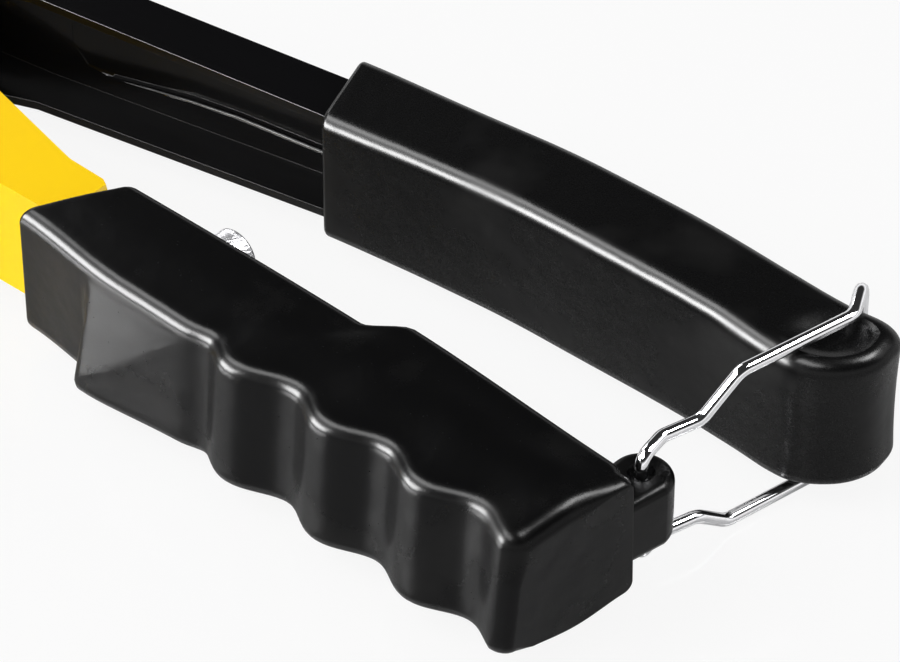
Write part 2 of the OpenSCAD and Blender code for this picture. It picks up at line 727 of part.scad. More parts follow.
// ---------- the ram ----------
module ram() {
    socket = shank_d + 3.2;
    slot_low = key_y - key_d / 2 - 10;
    color(steel) difference() {
        union() {
            y_cylinder(ram_d, ram_bottom, ram_top - 1);
            y_cylinder(collar_d, ram_top - collar_h, ram_top);
        }
        y_cylinder(shank_d, ram_bottom - 1, ram_bottom + socket);
        translate([0, ram_bottom + grub_up, 0]) z_cylinder(grub_d, 0, ram_d);
        translate([-key_d / 2 + 0.5, slot_low, ram_d / 2 - key_depth])
            cube([key_d - 1, key_y + key_d / 2 + 1.6 - slot_low, ram_d]);
    }
}

grub_d = 3;
grub_up = 2;

module ram_die() {
    post_d = 4;
    color(steel) {
        y_cylinder(die_d, ram_bottom - die_h, ram_bottom);
        y_cylinder(shank_d, ram_bottom - 0.1, ram_bottom + shank_d + 3);
        y_cylinder(post_d, ram_bottom - die_h - 0.6 * seat_h, ram_bottom - die_h + 0.1);
    }
}

module ram_die_screw() {
    color(steel) translate([0, ram_bottom + grub_up, 0]) difference() {
        z_cylinder(grub_d, shank_d / 2, ram_d / 2 - 0.3);
        translate([-grub_d, -0.3, ram_d / 2 - 1]) cube([2 * grub_d, 0.6, 2]);
    }
}

// ---------- the bail ----------
// One arm, from inside the lug to the crossbar's corner; s is 1 above the mid-plane and -1 below
function bail_arm(s) =
    let (x = lug[0], y = lug[1], waist = bail_waist + (s < 0 ? waist_drop : 0),
        ramp = s < 0 ? 19.6 : 21.6)
    [for (p = [[x, y, 1, 0], [x, y, waist, 2.2], [x - 1, y + 6.3, waist, 4],
        [x + 1.2, y + 13.7, waist, 4], [x + 2.8, y + ramp, bail_half, 4],
        [x + 8.05, y + bail_r - 7.5, bail_half, 4],
        [cross[0], cross[1], bail_half, 2.6]]) [p[0], p[1], s * p[2], p[3]]];

module wire_bail() {
    upper = bail_arm(1);
    lower = bail_arm(-1);
    color(chrome) bent_wire(concat(upper, [for (i = [len(lower) - 1:-1:0]) lower[i]]), wire_d);
}

frame_casting();
fixed_grip();
spare_die();
ram_bush();
anvil_die();
anvil_lock_nut();
ram_key_screw();
pivot_pin();
pivot_washers();
pivot_clip();
return_spring();
lever_channel();
lever_grip();
roller_pin();
roller_spacers();
roller_clips();
press_roller();
ram();
ram_die();
ram_die_screw();
wire_bail();
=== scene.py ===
# %% [markdown]
# # Snap setter pliers, latched shut by a wire bail
# The tool is a lever press for the hand. The lever pushes a ram down on an anvil, and a snap
# closes between their two dies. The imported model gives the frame: every part of it is already
# in its place, in metres. This script dresses that frame. It makes finer shapes for the parts
# and gives each of them a finish. Everything stays where the model says it is.

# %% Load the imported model
import json
import math

import bmesh
import bpy
from mathutils import Matrix, Vector


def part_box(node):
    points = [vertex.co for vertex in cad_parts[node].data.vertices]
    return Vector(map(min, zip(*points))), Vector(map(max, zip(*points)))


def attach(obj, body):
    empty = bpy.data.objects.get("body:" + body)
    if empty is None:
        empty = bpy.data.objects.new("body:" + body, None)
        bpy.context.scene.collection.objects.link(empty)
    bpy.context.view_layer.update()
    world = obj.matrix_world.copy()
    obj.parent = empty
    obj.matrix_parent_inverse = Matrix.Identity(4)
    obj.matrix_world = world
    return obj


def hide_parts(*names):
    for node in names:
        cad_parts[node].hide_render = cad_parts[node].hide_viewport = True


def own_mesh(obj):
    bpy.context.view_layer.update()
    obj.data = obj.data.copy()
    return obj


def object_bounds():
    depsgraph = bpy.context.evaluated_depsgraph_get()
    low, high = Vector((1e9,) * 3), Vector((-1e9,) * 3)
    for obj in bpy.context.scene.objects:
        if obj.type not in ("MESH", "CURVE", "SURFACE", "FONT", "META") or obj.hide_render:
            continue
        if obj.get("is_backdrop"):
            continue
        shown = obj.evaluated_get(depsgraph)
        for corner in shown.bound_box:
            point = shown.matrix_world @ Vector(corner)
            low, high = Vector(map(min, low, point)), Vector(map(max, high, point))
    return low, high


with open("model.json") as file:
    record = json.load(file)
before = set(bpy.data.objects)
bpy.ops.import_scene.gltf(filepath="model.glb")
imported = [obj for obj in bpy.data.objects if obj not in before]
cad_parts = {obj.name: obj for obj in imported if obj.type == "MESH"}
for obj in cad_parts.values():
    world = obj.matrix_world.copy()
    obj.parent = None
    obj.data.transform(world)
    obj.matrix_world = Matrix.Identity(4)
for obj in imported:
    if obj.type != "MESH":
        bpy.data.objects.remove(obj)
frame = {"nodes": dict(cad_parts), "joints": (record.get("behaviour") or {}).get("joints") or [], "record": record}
cad_low, cad_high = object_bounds()
joints = {joint["name"]: joint for joint in frame["joints"]}
slot_of = {part["node"]: part["material_slot"] for part in frame["record"]["subparts"]}
print("size of the model in mm:", [round(v * 1000, 1) for v in cad_high - cad_low])

# %% [markdown]
# ## The camera
# A long lens flattens perspective, so the two handles keep their true proportions. The camera
# stands 42 degrees round to the right and 42 degrees up, and looks between the handles.

# %% Camera
look_at = Vector((0.150, 0.048, 0.0))
turn, rise, distance = math.radians(42), math.radians(42), 0.8547
back = Vector((math.sin(turn) * math.cos(rise), -math.cos(turn) * math.cos(rise), math.sin(rise)))
camera = bpy.data.objects.new("camera", bpy.data.cameras.new("camera"))
camera.location = look_at + back * distance
camera.rotation_euler = (-back).to_track_quat("-Z", "Y").to_euler()
camera.data.lens = 200
camera.data.sensor_width = 36
bpy.context.scene.collection.objects.link(camera)
bpy.context.scene.camera = camera
print("camera at", [round(v, 3) for v in camera.location])

# %% [markdown]
# ## Blends
# Moulded handles have no sudden steps. `smooth` goes from 0 to 1 with a soft start and a soft
# end, and `mix` is a plain straight blend. Both also shaped the solids, so the finer shapes
# here can follow the same lines. Sizes are written in millimetres, and `MM` makes them metres.

# %% Two blends
MM = 0.001


def smooth(x, a, b):
    """0 before a, 1 after b, and an S-shaped curve between them."""
    t = min(1, max(0, (x - a) / (b - a)))
    return t * t * (3 - 2 * t)


def mix(a, b, t):
    """A straight blend from a to b."""
    return a + (b - a) * t


print("halfway:", smooth(0.5, 0, 1), mix(2, 4, 0.5))

# %% [markdown]
# ## Growing a piece from its first outline
# A handle is one outline that changes slowly along its length. So a bmesh starts with one
# filled circle, whose corners are moved on to the first outline. Its face is then extruded
# again and again, and each new face is moved to the next outline. The face that was left
# behind is taken out, so that the result is one closed skin.

# %% Grow a skin over a row of outlines
def grow(bm, outlines):
    """Extrudes one face through a row of outlines, which all have as many points (in mm)."""
    made = bmesh.ops.create_circle(bm, cap_ends=True, segments=len(outlines[0]), radius=1)
    face = made["verts"][0].link_faces[0]
    ring = list(face.verts)
    rings = [ring]
    for vert, point in zip(ring, outlines[0]):
        vert.co = Vector(point) * MM
    for step, outline in enumerate(outlines[1:]):
        grown = bmesh.ops.extrude_face_region(bm, geom=[face])["geom"]
        if step:
            bm.faces.remove(face)
        face = next(part for part in grown if isinstance(part, bmesh.types.BMFace))
        ring = list(face.verts)
        for vert, point in zip(ring, outline):
            vert.co = Vector(point) * MM
        rings.append(ring)
    return face, rings


print("grow is ready")

# %% [markdown]
# ## Finishing a piece
# Every piece ends the same way. Doubled points are merged, the faces are turned outwards, and
# the mesh becomes an object at the origin. Edges sharper than a given angle stay sharp. The
# Weighted Normal modifier lets the large faces set the shading, so flat parts look flat right
# up to their rounded edges. Then the piece gets its finish and is hung on the body it rides on,
# and the solids that it stands for are hidden.

# %% Make an object from a bmesh
same_spot = 1e-7


def finish_piece(bm, name, body, slot, nodes, sharp=40, weighted=True, turn_out=True):
    """Turns a bmesh into a finished object that rides on a body and stands for CAD nodes."""
    bmesh.ops.remove_doubles(bm, verts=bm.verts, dist=same_spot)
    if turn_out:
        bmesh.ops.recalc_face_normals(bm, faces=bm.faces)
    mesh = bpy.data.meshes.new(name)
    bm.to_mesh(mesh)
    bm.free()
    mesh.shade_smooth()
    mesh.set_sharp_from_angle(angle=math.radians(sharp))
    piece = bpy.data.objects.new(name, mesh)
    bpy.context.scene.collection.objects.link(piece)
    if weighted:
        normals = piece.modifiers.new("even_shading", "WEIGHTED_NORMAL")
        normals.keep_sharp = True
    piece.data.materials.append(finishes[slot])
    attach(piece, body)
    if nodes:
        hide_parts(*nodes)
    print(f"{name}: {len(mesh.polygons)} faces")
    return piece


print(f"points closer than {same_spot / MM:.4f} mm count as one")

# %% [markdown]
# ## Shader sums in plain Python
# A pattern in a material is a sum of waves, noises and masks. Wiring it by hand takes dozens of
# Math nodes. `Signal` wraps a socket, so that `0.3 + 0.1 * grain` adds those nodes by itself. A
# Math node would turn a colour grey, so colours go through Mix nodes and vectors through Vector
# Math nodes. `Wiring` has the one method that makes every node, and `Finish` is a whole material.

# %% A socket that can be calculated with
class Signal:
    """One output socket of a node, with the operators that the finishes use."""

    def __init__(self, wiring, socket):
        self.wiring, self.socket = wiring, socket

    def math(self, operation, *values):
        return self.wiring.node("Math", {"operation": operation}, dict(enumerate(values)))

    def __add__(self, other):
        return self.math("ADD", self, other)

    def __radd__(self, other):
        return self.math("ADD", other, self)

    def __sub__(self, other):
        return self.math("SUBTRACT", self, other)

    def __rsub__(self, other):
        return self.math("SUBTRACT", other, self)

    def __mul__(self, other):
        return self.math("MULTIPLY", self, other)

    def __rmul__(self, other):
        return self.math("MULTIPLY", other, self)

    def sine(self):
        return self.math("SINE", self)

    def between(self, low, high):
        """0 below low, 1 above high."""
        settings = {"interpolation_type": "SMOOTHSTEP"}
        return self.wiring.node("MapRange", settings, {0: self, 1: low, 2: high})


# %% One method that makes every node
class Wiring:
    """The nodes of a material or of the room."""

    def __init__(self, tree):
        self.tree = tree

    def node(self, kind, settings, sockets, output=0):
        """Adds one node: its settings first, then the values or links of its sockets."""
        node = self.tree.nodes.new("ShaderNode" + kind)
        for name, value in settings.items():
            setattr(node, name, value)
        for name, value in sockets.items():
            self.join(node.inputs[name], value)
        return Signal(self, node.outputs[output])

    def join(self, socket, value):
        if isinstance(value, Signal):
            self.tree.links.new(value.socket, socket)
        else:
            socket.default_value = value


# %% A material that is built node by node
class Finish(Wiring):
    """A material with one Principled shader. Its patterns are measured in millimetres."""

    def __init__(self, name, **plain):
        self.material = bpy.data.materials.new(name)
        self.material.use_nodes = True
        super().__init__(self.material.node_tree)
        self.shader = self.tree.nodes["Principled BSDF"]
        for socket, value in plain.items():
            self.set(socket.replace("_", " "), value)
        place = self.node("TexCoord", {}, {}, "Object")
        self.place = self.node("VectorMath", {"operation": "SCALE"}, {0: place, "Scale": 1000})

    def set(self, socket, value):
        self.join(self.shader.inputs[socket], value)

    def noise(self, per_mm, detail, rough=0.5):
        """Cloudy noise, with about this many lumps to a millimetre."""
        sockets = {"Vector": self.place, "Scale": per_mm, "Detail": detail, "Roughness": rough}
        return self.node("TexNoise", {}, sockets, "Fac")

    def cells(self, per_mm):
        """The distance to the nearest of many scattered points."""
        sockets = {"Vector": self.place, "Scale": per_mm}
        return self.node("TexVoronoi", {"feature": "F1"}, sockets, "Distance")

    def blend(self, factor, first, second):
        """A colour between two colours."""
        sockets = {0: factor, 6: first, 7: second}
        return self.node("Mix", {"data_type": "RGBA"}, sockets, 2)

    def bump(self, height, mm, under=None):
        """A normal from a height pattern, whose 1 stands this many millimetres high."""
        sockets = {"Height": height, "Distance": mm * MM, "Strength": 1.0}
        if under:
            sockets["Normal"] = under
        return self.node("Bump", {}, sockets)


finishes = {}
print("ready to make finishes")

# %% [markdown]
# ## Moulded vinyl
# The grips are dipped or moulded in soft black vinyl. It is nearly black all over, and what
# shows its shape is the gloss. On the fixed grip the gloss breaks up into fine grain, because
# the mould was grained a little. Handling leaves faint rubbed patches, which are a shade duller.

# %% Vinyl of both grips
vinyl_black, vinyl_worn = (0.0019, 0.0019, 0.0021, 1), (0.0034, 0.0033, 0.0033, 1)
vinyl_speck = (0.012, 0.012, 0.013, 1)


def vinyl(name, grain, sheen, level):
    """Black vinyl with a given height of grain, base roughness and strength of gloss."""
    finish = Finish(name, IOR=1.36, Specular_IOR_Level=level)
    pebbles = finish.noise(2.6, detail=2, rough=0.6)
    waves = finish.noise(0.16, detail=2)
    rubbed = finish.noise(0.045, detail=4).between(0.52, 0.7)
    specks = finish.cells(0.55).between(0.09, 0.03)
    tint = finish.blend(rubbed, vinyl_black, vinyl_worn)
    finish.set("Base Color", finish.blend(specks * 0.5, tint, vinyl_speck))
    finish.set("Roughness", sheen + 0.05 * pebbles + 0.07 * rubbed + 0.05 * specks)
    soft = finish.bump(waves, 0.12)
    finish.set("Normal", finish.bump(pebbles, grain, under=soft))
    finishes[name] = finish.material


vinyl("grip_vinyl", grain=0.011, sheen=0.23, level=0.24)
vinyl("sleeve_vinyl", grain=0.002, sheen=0.25, level=0.34)
print("vinyl made:", sorted(finishes))

# %% [markdown]
# ## Enamel
# The casting is sprayed with yellow enamel and the pressed lever with black. Paint flows a
# little before it sets, so it has soft waves called orange peel. A clear coat gives the sharp
# gloss. The colour of the yellow is a little deeper in broad clouds, where it lies thicker.

# %% Enamels
def enamel(name, thin, thick, peel, sheen, level, coat):
    """Sprayed paint: two close colours, soft waves and fine dust under the gloss."""
    finish = Finish(name, IOR=1.5, Coat_Roughness=0.06, Specular_IOR_Level=level)
    clouds = finish.noise(0.03, detail=3).between(0.35, 0.7)
    waves = finish.noise(0.45, detail=2)
    dust = finish.cells(0.3).between(0.05, 0.015)
    finish.set("Base Color", finish.blend(clouds, thin, thick))
    finish.set("Roughness", sheen + 0.08 * clouds + 0.1 * dust)
    finish.set("Coat Weight", coat - 0.1 * clouds)
    finish.set("Normal", finish.bump(waves + 0.5 * dust, peel))
    finishes[name] = finish.material


enamel("yellow_paint", thin=(1.0, 0.65, 0.002, 1), thick=(0.97, 0.61, 0.001, 1),
       peel=0.03, sheen=0.3, level=0.08, coat=0.05)
enamel("black_paint", thin=(0.004, 0.004, 0.0045, 1), thick=(0.0028, 0.0028, 0.003, 1),
       peel=0.012, sheen=0.12, level=0.2, coat=0.12)
print("enamels made:", sorted(finishes))

# %% [markdown]
# ## Bare and plated metal
# Turned steel keeps fine rings from the lathe. They follow the distance from the ram's axis,
# which the ram, both dies and the lock nut share. On the pins the same pattern is so faint that
# it reads as plain wear. Zinc is paler, with a soft bloom, tempered spring steel is dark, and
# sintered bronze is full of tiny pores.

# %% Turned and plated metals
def metal(name, pale, dark, sheen, rings, pores=0.0):
    """Metal with pale and dark patches, pores, and lathe rings round the ram's axis."""
    finish = Finish(name, Metallic=1.0)
    off_axis = finish.node("VectorMath", {"operation": "MULTIPLY"}, {0: finish.place, 1: (1, 0, 1)})
    radius = finish.node("VectorMath", {"operation": "LENGTH"}, {0: off_axis}, "Value")
    stain = finish.noise(0.22, detail=4).between(0.35, 0.75)
    fine = finish.noise(3.0, detail=2)
    groove = (radius * 9.0 + 1.4 * fine).sine()
    pits = finish.cells(2.2).between(0.2, 0.08) * pores
    finish.set("Base Color", finish.blend(stain * 0.6 + pits * 0.4, pale, dark))
    finish.set("Roughness", sheen + 0.09 * stain + 0.12 * pits + 0.03 * fine)
    finish.set("Normal", finish.bump(groove * rings - pits, 0.012))
    finishes[name] = finish.material


metal("die_steel", (0.66, 0.66, 0.68, 1), (0.5, 0.5, 0.51, 1), sheen=0.32, rings=0.5)
metal("zinc_steel", (0.72, 0.73, 0.75, 1), (0.58, 0.6, 0.63, 1), sheen=0.27, rings=0.25)
metal("spring_steel", (0.32, 0.32, 0.34, 1), (0.2, 0.2, 0.22, 1), sheen=0.26, rings=0.1)
metal("black_screws", (0.07, 0.07, 0.075, 1), (0.04, 0.04, 0.043, 1), sheen=0.33, rings=0.2)
metal("bronze", (0.62, 0.38, 0.16, 1), (0.42, 0.24, 0.1, 1), sheen=0.34, rings=0.2, pores=1.0)
print("metals made:", sorted(finishes))

# %% [markdown]
# ## Chromed wire
# The bail is bright chromed wire. Chrome has almost no colour of its own, so it shows white
# floor and dark room as sharp streaks. Drawn wire has very faint lines along it, and the
# plating is a little cloudy where it was handled.

# %% Chrome
chrome = Finish("chromed_wire", Metallic=1.0)
haze = chrome.noise(0.25, detail=4).between(0.45, 0.8)
chrome.set("Base Color", chrome.blend(haze, (0.9, 0.9, 0.92, 1), (0.8, 0.8, 0.82, 1)))
chrome.set("Roughness", 0.045 + 0.06 * haze)
chrome.set("Normal", chrome.bump(chrome.noise(1.3, detail=2), 0.006))
finishes["chromed_wire"] = chrome.material
print("made: chrome")

# %% The solids themselves get their finishes too
for node, cad in frame["nodes"].items():
    for slot in cad.material_slots:
        slot.material = finishes[slot_of[node]]
print("finishes:", len(finishes))

# %% [markdown]
# ## The lines of the fixed grip
# The fixed grip is a bar of vinyl over the casting's tang. Its outer edge has a step that stops
# the forefinger, then four finger grooves. Its inner edge swells for the heel of the hand. Each
# line is a small function of the distance along the tool, in millimetres.

# %% Fixed grip: its edges
grip_x, grip_len, grip_half = 84, 117.8, 13
grip_end = grip_x + grip_len
inner_y, outer_y = 28.5, 7.4
collar_h, collar_len = 2.3, 27
first_finger, finger_pitch, finger_h = grip_x + 54.8, 20.45, 3.3
guard_x, guard_h, guard_tail_h, guard_tail_len, guard_butt_h = grip_x + 19.6, 4, 1.7, 26, 0.8
swell_x, swell_h, swell_end_h, swell_ramp = grip_x + 58.9, 4.9, 3.6, 3.2
bow_h, butt_dip = 0.9, 2.2


def collar_line(x):
    """The outer edge from the mouth to the guard, where the grip is slimmer."""
    return outer_y + 0.2 + collar_h * (1 - smooth(x, grip_x, grip_x + collar_len))


def outer_edge(x, lag=0):
    """The outer edge, whose fingers may lie a little further back."""
    wave = math.cos(math.radians(360 * (x - lag - first_finger) / finger_pitch))
    fingers = outer_y - finger_h / 2 * wave
    return mix(collar_line(x), fingers, smooth(x, first_finger - 13.5, first_finger - 5.5))


def guard(x):
    """How far the guard stands out along the lower edge."""
    fade = mix(guard_h, guard_tail_h, smooth(x, guard_x, guard_x + guard_tail_len))
    fade += guard_butt_h * smooth(x, guard_x + 32, grip_end - 20)
    return smooth(x, guard_x - 1, guard_x + 1.8) * fade


def inner_line(x):
    """The inner edge, with its palm swell."""
    bow = inner_y + 0.3 + bow_h * math.sin(math.pi * (x - grip_x) / grip_len)
    high = mix(swell_h, swell_end_h, smooth(x, swell_x, grip_end))
    rise = smooth(x, swell_x - swell_ramp, swell_x + swell_ramp) * high
    return bow + rise - butt_dip * smooth(x, grip_end - 6, grip_end)


def lower_edge(x):
    """The outer edge's underside, a little further back and as far out as the guard."""
    return outer_edge(x, mix(0.7, 1.3, smooth(x, first_finger, grip_end))) - guard(x)


widths = [round(inner_line(x) - outer_edge(x), 1) for x in (grip_x, grip_end)]
print("grip width at its mouth and its butt:", widths)

# %% [markdown]
# ## One outline of the fixed grip
# The outline goes once round the bar: inner corner, crowned top, outer corner, front, and back
# underneath. `arc` makes the round corners. Behind the guard's ridge the front is cut by a flat
# facet: its crease climbs from the ridge's foot to the upper edge. `shrink` moves an outline
# inwards, which rounds the two ends of the grip over when the last outlines get smaller.

# %% Fixed grip: one outline
def arc(y, z, radius, start, steps=8):
    """A quarter turn of points in the plane across the tool, as (y, z)."""
    turns = [math.radians(start + 90 * step / steps) for step in range(steps + 1)]
    return [(y + radius * math.cos(t), z + radius * math.sin(t)) for t in turns]


def guard_facet(x, rim):
    """Height of the facet's crease, and how far out it lies between upper and lower edge."""
    along = (x - guard_x - 0.7) / 21.9
    foot, head, foot_out, head_out = -rim + 0.6, rim - 0.8, 0.97, 0.04
    if along < 1:
        along = max(0, along)
        return mix(foot, head, along ** 1.15), mix(foot_out, head_out, along ** 1.9)
    even = smooth(along, 1, 1.5)
    return mix(head, 0, even), mix(head_out, 0.5, even)


corner, inner_corner, crown_h, steps_across = 3.0, 2.5, 1.1, 16


def grip_outline(x):
    """The outline across the grip at x, as (y, z)."""
    top, low, inner = outer_edge(x), lower_edge(x), inner_line(x)
    height = mix(grip_half + 1, grip_half, smooth(x, grip_x, grip_end))
    crown = crown_h * mix(0.2, 1, smooth(x, grip_x, grip_end))
    shoulder = height - 0.1 * crown
    flat = []
    for step in range(1, steps_across):
        share = step / steps_across
        y = mix(inner - inner_corner, top + corner, share)
        flat.append((y, mix(shoulder, height, share) + crown * math.sin(math.pi * share) ** 1.5))
    front, rim = [], height - corner
    crease, out = guard_facet(x, rim)
    for step in range(1, steps_across):
        share = 2 * step / steps_across
        z = mix(rim, crease, share) if share < 1 else mix(crease, -rim, share - 1)
        lean = out * share if share < 1 else mix(out, 1, share - 1)
        front.append((mix(top, low, lean), z))
    under = [(y, -z) for y, z in reversed(flat) if y > low + corner + 0.4]
    under += [(low + corner + 0.2, -shoulder)] * (len(flat) - len(under))
    return (arc(inner - inner_corner, shoulder - inner_corner, inner_corner, 0) + flat
            + arc(top + corner, height - corner, corner, 90) + front
            + arc(low + corner, corner - height, corner, 180)
            + under + arc(inner - inner_corner, inner_corner - shoulder, inner_corner, 270))


def shrink(outline, inset, share=lambda y, z: 1):
    """Moves an outline inwards, at right angles to itself, by a share for each point."""
    moved = []
    for i, (y, z) in enumerate(outline):
        before, after = outline[i - 1], outline[(i + 1) % len(outline)]
        dy, dz = after[0] - before[0], after[1] - before[1]
        step = inset * share(y, z) / (math.hypot(dy, dz) or 1)
        moved.append((y - step * dz, z + step * dy))
    return moved


print("points in one outline:", len(grip_outline(120)))

# %% [markdown]
# ## The fixed grip itself
# The outlines are a little more than a millimetre apart. The ends are rounded by 3.4 mm at the
# butt and 1.2 mm at the mouth. The whole bar leans, because its two ends are not square to it:
# each point moves along the tool by a share of its distance from the outer edge.

# %% Fixed grip: the body
mouth_lean, butt_lean = 0.54, 0.17
mouth_round, butt_round = 1.2, 3.4
mouth_steps, bar_steps, butt_steps = 5, 104, 8


def lean_of(x):
    """How far an outline leans, and the height at which it doesn't move."""
    share = smooth((x - grip_x) / grip_len, 0, 1)
    return mix(mouth_lean, butt_lean, share), mix(collar_line(grip_x), outer_y, share)


def butt_share(y, z):
    """The butt is well rounded above and in front, and tight below and beside the lug."""
    above = smooth(z, -5, 8) * mix(1, 0.35, smooth(y, 20, 29))
    return max(0.2, above, 0.7 * (1 - smooth(y, 7, 12)))


def grip_points(x, reach, inset, share=lambda y, z: 1):
    """Outline x, moved along the tool by reach and inwards by inset."""
    slope, foot = lean_of(x)
    ring = shrink(grip_outline(x), inset, share) if inset else grip_outline(x)
    return [(x + reach + slope * (y - foot), y, z) for y, z in ring]


first, last = grip_x + mouth_round, grip_end - butt_round
outlines = []
for step in range(mouth_steps):
    a = math.pi / 2 * step / mouth_steps
    outlines.append(grip_points(first, -mouth_round * math.cos(a), mouth_round * (1 - math.sin(a))))
for step in range(bar_steps + 1):
    outlines.append(grip_points(mix(first, last, step / bar_steps), 0, 0))
for step in range(1, butt_steps + 1):
    a = math.pi / 2 * step / butt_steps
    outlines.append(grip_points(last, butt_round * math.sin(a), butt_round * (1 - math.cos(a)),
                                butt_share))
grip_bm = bmesh.new()
grow(grip_bm, outlines)
bmesh.ops.remove_doubles(grip_bm, verts=grip_bm.verts, dist=1e-6)
bmesh.ops.recalc_face_normals(grip_bm, faces=grip_bm.faces)
print("grip volume in cm3:", round(grip_bm.calc_volume() * 1e6, 1))

# %% [markdown]
# ## Cutting with another shape
# The neck's tang fills a pocket that runs through most of the grip, with 0.1 mm of room all
# round, and the spare die stands in a round hole. A Boolean modifier takes such a hole out. Its
# cutter is a small closed mesh that is deleted again once the modifier has been applied.

# %% A helper that cuts one mesh with others
def cut(bm, *cutters):
    """Takes the cutters out of a bmesh with Booleans and returns a new one."""
    def as_object(part, name):
        bmesh.ops.recalc_face_normals(part, faces=part.faces)
        mesh = bpy.data.meshes.new(name)
        part.to_mesh(mesh)
        part.free()
        made = bpy.data.objects.new(name, mesh)
        bpy.context.scene.collection.objects.link(made)
        return made

    whole = as_object(bm, "to_cut")
    tools = [as_object(cutter, "cutter") for cutter in cutters]
    for tool in tools:
        boolean = whole.modifiers.new("hole", "BOOLEAN")
        boolean.operation, boolean.solver, boolean.object = "DIFFERENCE", "EXACT", tool
    shown = whole.evaluated_get(bpy.context.evaluated_depsgraph_get())
    result = bmesh.new()
    result.from_mesh(shown.to_mesh())
    shown.to_mesh_clear()
    for used in (whole, *tools):
        mesh = used.data
        bpy.data.objects.remove(used)
        bpy.data.meshes.remove(mesh)
    return result


# %% Two shapes to cut with
def rod(centre, axis, radius, length, top=None):
    """A closed round bar, or a cone if the top has its own radius (in mm)."""
    bm = bmesh.new()
    turned = Vector(axis).to_track_quat("Z", "Y").to_matrix().to_4x4()
    matrix = Matrix.Translation(Vector(centre) * MM) @ turned
    bmesh.ops.create_cone(bm, cap_ends=True, segments=48, radius1=radius * MM,
                          radius2=(radius if top is None else top) * MM, depth=length * MM,
                          matrix=matrix)
    return bm


def bar_ring(x, low, high, half):
    """A rectangle across the tool at x, from low to high and from -half to half."""
    return [(x, low, -half), (x, high, -half), (x, high, half), (x, low, half)]


fit_room = 0.1
print("room round a part in its pocket, in mm:", fit_room)

# %% Fixed grip: pocket, hole and finish
spare_low, spare_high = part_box("spare_die")
spare_x = (spare_low.x + spare_high.x) / 2 / MM
neck_half, neck_low, neck_high, tang_half, tang_end = 11.6, 14.8, 27.5, 10, 194
# Each line of the tang: where along the tool, lower edge, upper edge and half width.
tang_lines = [(grip_x - 6, neck_low, neck_high, neck_half),
              (grip_x + 3.6, neck_low, neck_high, neck_half),
              (grip_x + 5, neck_low, 26.8, neck_half), (grip_x + 7.2, neck_low, 25.6, tang_half),
              (tang_end + fit_room, 13.6, 24.6, tang_half)]
tang = bmesh.new()
grow(tang, [bar_ring(x, low - fit_room, high + fit_room, half + fit_room)
            for x, low, high, half in tang_lines])
die_hole = rod((spare_x, 34, 0), axis=(0, 1, 0), radius=4.9, length=22)
grip_bm = cut(grip_bm, tang, die_hole)
finish_piece(grip_bm, "fixed_grip_vinyl", "frame", "grip_vinyl", ["fixed_grip"])

# %% [markdown]
# ## The lug for the bail
# The butt of the grip carries a lug with a hole through it. The two ends of the bail snap into
# that hole. The lug is a plate: a circle and a straight foot that disappears in the grip. The
# foot leans as the butt does and sinks just under its face, so the two lie flush. The rim of the
# plate is bevelled all round, and the hole opens out into a small cup at both mouths.

# %% Bail lug
hinge = Vector(joints["bail_swing"]["pos_m"]) / MM
wire_r, lug_r, lug_half, lug_round = 1.2, 5.6, 6.85, 1.7
foot_h, foot_lean = 11, 2.2
lug_bm = bmesh.new()
bmesh.ops.create_circle(lug_bm, cap_ends=True, segments=72, radius=lug_r * MM)
everything = lug_bm.verts[:] + lug_bm.edges[:] + lug_bm.faces[:]
halved = bmesh.ops.bisect_plane(lug_bm, geom=everything, dist=same_spot, plane_co=(0, 0, 0),
                                plane_no=(0, -1, 0), clear_outer=True)
chord = [part for part in halved["geom_cut"] if isinstance(part, bmesh.types.BMEdge)]
grown = bmesh.ops.extrude_edge_only(lug_bm, edges=chord)["geom"]
for part in grown:
    if isinstance(part, bmesh.types.BMVert):
        part.co += Vector((-foot_lean if part.co.x > 0 else 0, -foot_h, 0)) * MM
bmesh.ops.dissolve_faces(lug_bm, faces=lug_bm.faces[:])
bmesh.ops.translate(lug_bm, verts=lug_bm.verts, vec=Vector((hinge.x, hinge.y, -lug_half)) * MM)
raised = bmesh.ops.extrude_face_region(lug_bm, geom=lug_bm.faces[:])["geom"]
for part in raised:
    if isinstance(part, bmesh.types.BMVert):
        part.co.z = lug_half * MM
rims = [edge for edge in lug_bm.edges if abs(edge.verts[0].co.z - edge.verts[1].co.z) < 1e-6]
bmesh.ops.bevel(lug_bm, geom=rims, offset=lug_round * MM, affect="EDGES", segments=6,
                profile=0.5, material=-1, clamp_overlap=True)
bore = rod((hinge.x, hinge.y, 0), axis=(0, 0, 1), radius=wire_r + 0.06, length=30)
cups = [rod((hinge.x, hinge.y, side * (lug_half - 0.45)), axis=(0, 0, side),
            radius=wire_r + 0.45, length=1.5, top=wire_r + 1.35) for side in (1, -1)]
lug_bm = cut(lug_bm, bore, *cups)
finish_piece(lug_bm, "bail_lug", "frame", "grip_vinyl", [])

# %% [markdown]
# ## The lines of the lever
# The lever is a channel pressed from sheet steel, with a vinyl sleeve pushed over its outer
# half. Its front edges run straight from the head and then bend inwards along the hand. The
# sleeve stands 2.8 mm ahead of those edges and gets slimmer towards its round end.

# %% Lever: its lines
roller_y = joints["roller_spin"]["pos_m"][1] / MM
cheek_x, sleeve_x = grip_x - 41, grip_x + 20.6
palm_x, heel_x, channel_tip = sleeve_x + 40.4, sleeve_x + 71.4, hinge.x + 2
sleeve_wall, sleeve_mouth_d, sleeve_d, sleeve_tip_d, sleeve_end_r = 2.8, 18.5, 18.6, 17.3, 9.5
sleeve_taper = 1.3
channel_rise, sleeve_rise, bail_r, swing_gap, latch_gap = 5.5, 6.7, 52.3, 0.9, 1.9


